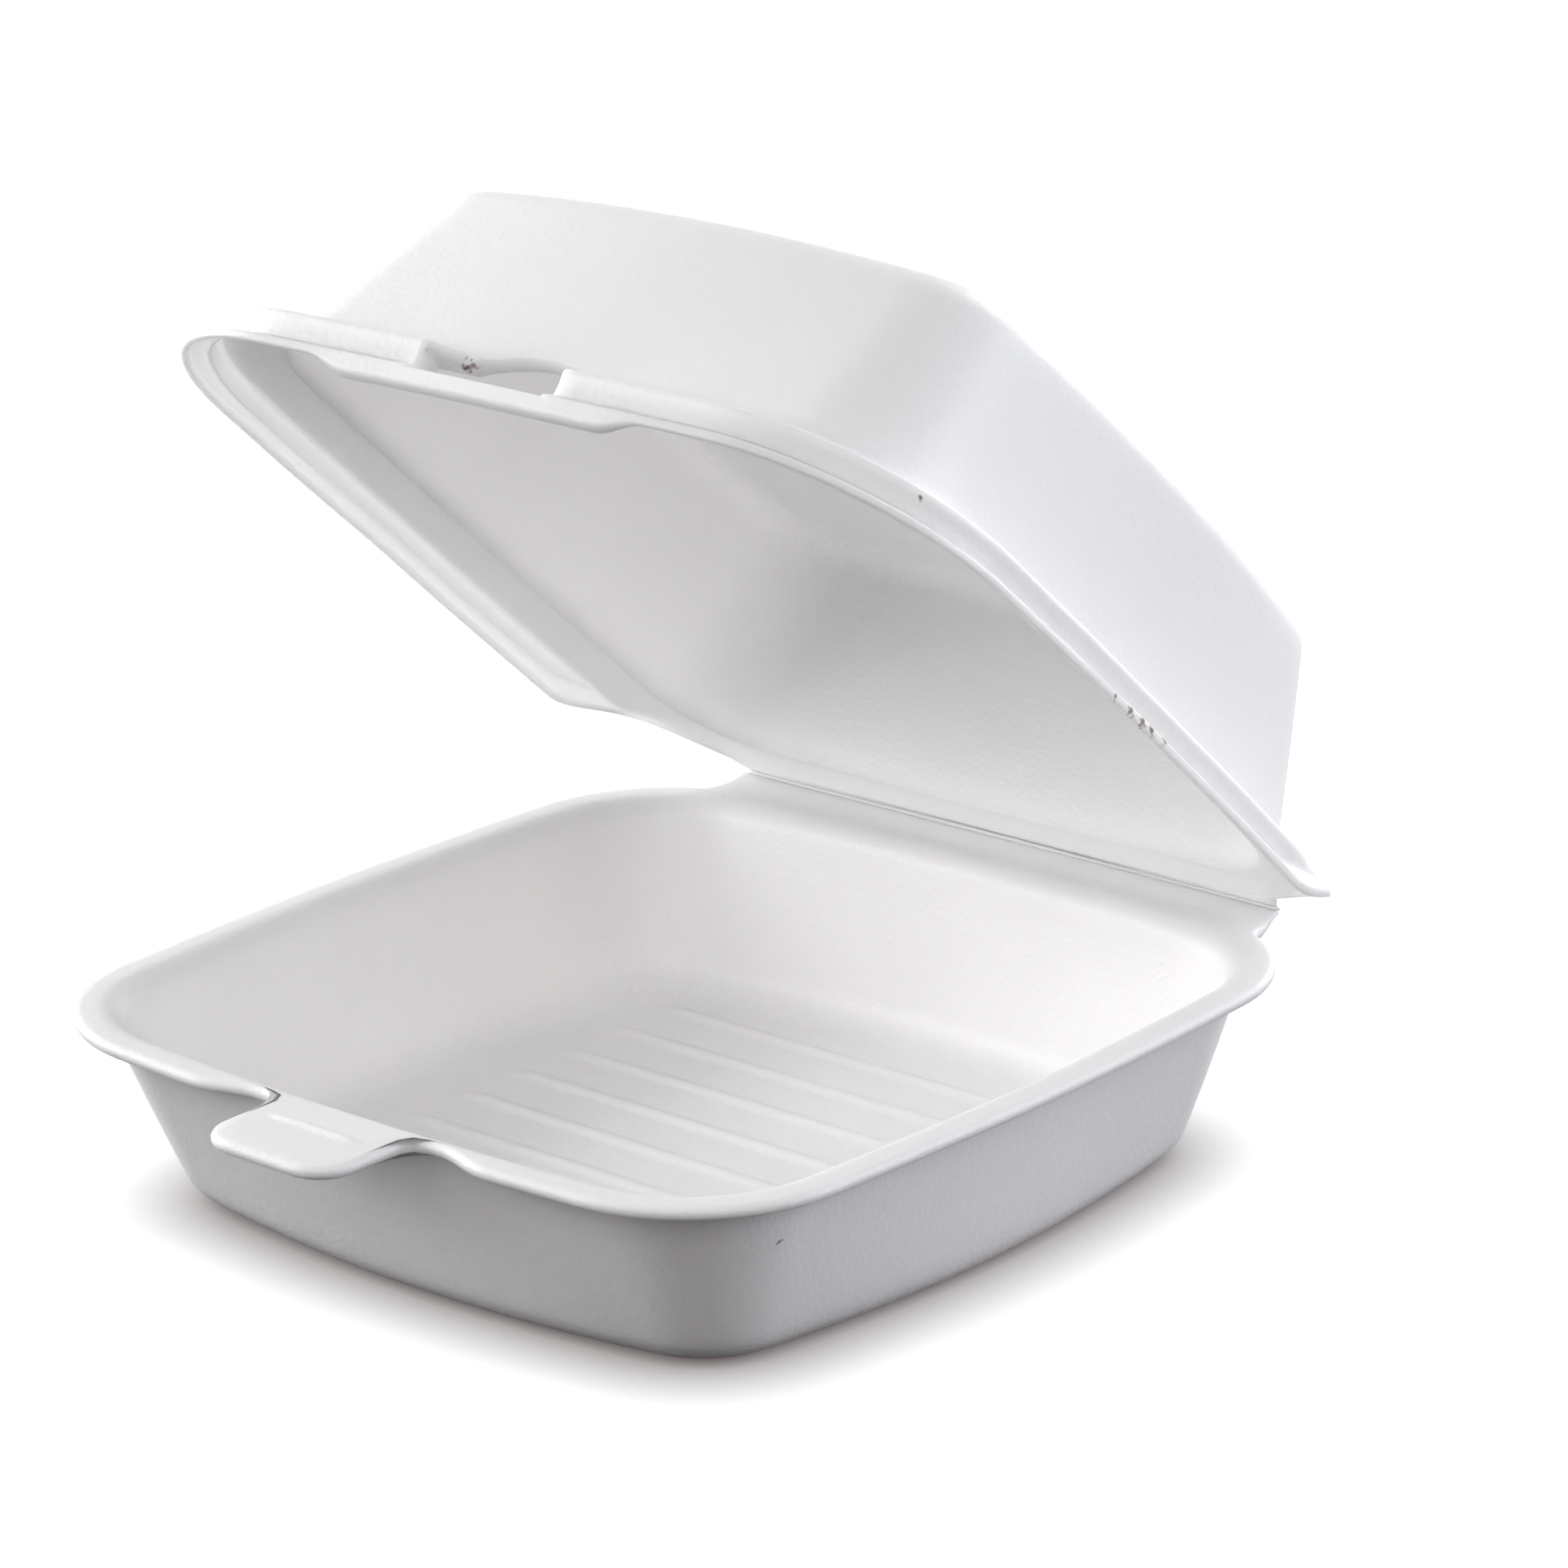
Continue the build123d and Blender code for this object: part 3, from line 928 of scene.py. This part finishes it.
# %% [markdown]
# The slot takes the whole flange away above the bar, and goes on as an arch through the foot of the wall.
# It could be left open while the rings are stacked, but its edges cross many of them. So it is cut, as
# in the factory: a closed cutter is swung with the lid and taken away with a Boolean modifier. The arch
# opens towards the front in small steps, which round its cut edge as foam does.

# %% Slot
def arch(crown):
    """The slot's outline: down its left side, along the sill to the right, and back over the arch."""
    sagitta = crown - slot_shoulder
    radius = (slot_half ** 2 + sagitta ** 2) / (2 * sagitta)
    spread = asin(slot_half / radius)
    top = arc((0, crown - radius), radius, pi / 2 - spread, pi / 2 + spread, 32)
    corners = [(-slot_half, slot_shoulder), (-slot_half, slot_sill), (slot_half, slot_sill)]
    return np.vstack((corners, top))


def cutter(name, slices):
    """A closed body from outlines of equal length, each at its own y, swung open like the lid."""
    count = len(slices[0][1])
    rings = [np.column_stack((flat[:, 0], np.full(count, y), flat[:, 1])) for y, flat in slices]
    last = (len(rings) - 1) * count
    ends = [tuple(range(count))[::-1], tuple(range(last, last + count))]
    return closed_object(name, swing_open(np.vstack(rings)), ends + bands(len(rings), count).tolist())


def cut_away(obj, tool):
    """Takes a cutter away from an object and bakes the result."""
    cut = obj.modifiers.new("cut", "BOOLEAN")
    cut.object = tool
    cut.solver = "EXACT"
    shaped = bpy.data.meshes.new_from_object(obj.evaluated_get(bpy.context.evaluated_depsgraph_get()))
    obj.modifiers.clear()
    obj.data = shaped
    bpy.data.objects.remove(tool)


window = np.array([
    (-slot_half, slot_window_top), (-slot_half, slot_sill),
    (slot_half, slot_sill), (slot_half, slot_window_top),
])
cut_away(lid, cutter("front_cutter", [(slot_front, window), (slot_back, window)]))
cut_away(lid, cutter("arch_cutter", [(slot_back + y, arch(slot_crown + rise)) for y, rise in slot_flare]))
print("lid faces with the slot", len(lid.data.polygons))

# %% [markdown]
# The fold is the pressed line where the sheet is crushed thin, so that it bends there and nowhere else.
# It could be one sheet that follows both halves, but foam folds along a sharp line, not in a curve.
# So it is a thin bead of crushed foam round the hinge's own axis: it looks the same at every angle.

# %% Fold
fold_radius = 0.6
fold_taper = 1.2
fold_sides = 16
fold_steps = 120


def make_fold():
    """The crushed foam along the fold, a thin uneven bead from one side to the other."""
    turn = np.linspace(0, 2 * pi, fold_sides, endpoint=False)
    rings = []
    for x in np.linspace(-fold_half, fold_half, fold_steps):
        end = ease((fold_half - abs(x)) / fold_taper)
        radius = fold_radius * (0.25 + 0.75 * end) * (1 + 0.1 * noise.noise(Vector((x / 4, 0, 0))))
        rings.append(np.column_stack((
            np.full(fold_sides, x), fold_y + radius * np.cos(turn), fold_z + radius * np.sin(turn)
        )))
    last = (fold_steps - 1) * fold_sides
    ends = [tuple(range(fold_sides)), tuple(range(last, last + fold_sides))]
    return closed_object("fold", np.vstack(rings), bands(fold_steps, fold_sides).tolist() + ends)


fold = make_fold()
print("fold is", 2 * fold_half, "mm long")

# %% [markdown]
# Each shell is smooth, but cut edges stay sharp where two faces meet at more than a set angle.
# Each piece rides on its CAD body and gets the foam skin, and the two shells stand for the CAD nodes.

# %% Dress the pieces
sharp_angle = radians(40)


def dress(obj, body, material):
    """Smooth shading, foam skin and the body that carries the piece."""
    obj.data.materials.clear()
    obj.data.materials.append(material)
    obj.data.shade_smooth()
    obj.data.set_sharp_from_angle(angle=sharp_angle)
    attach(obj, body)


dress(tray, "base", foam)
dress(lid, "lid", drawn_foam)
dress(fold, "base", foam)
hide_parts("base")
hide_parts("lid")
print("pieces", [obj.name for obj in (tray, lid, fold)])
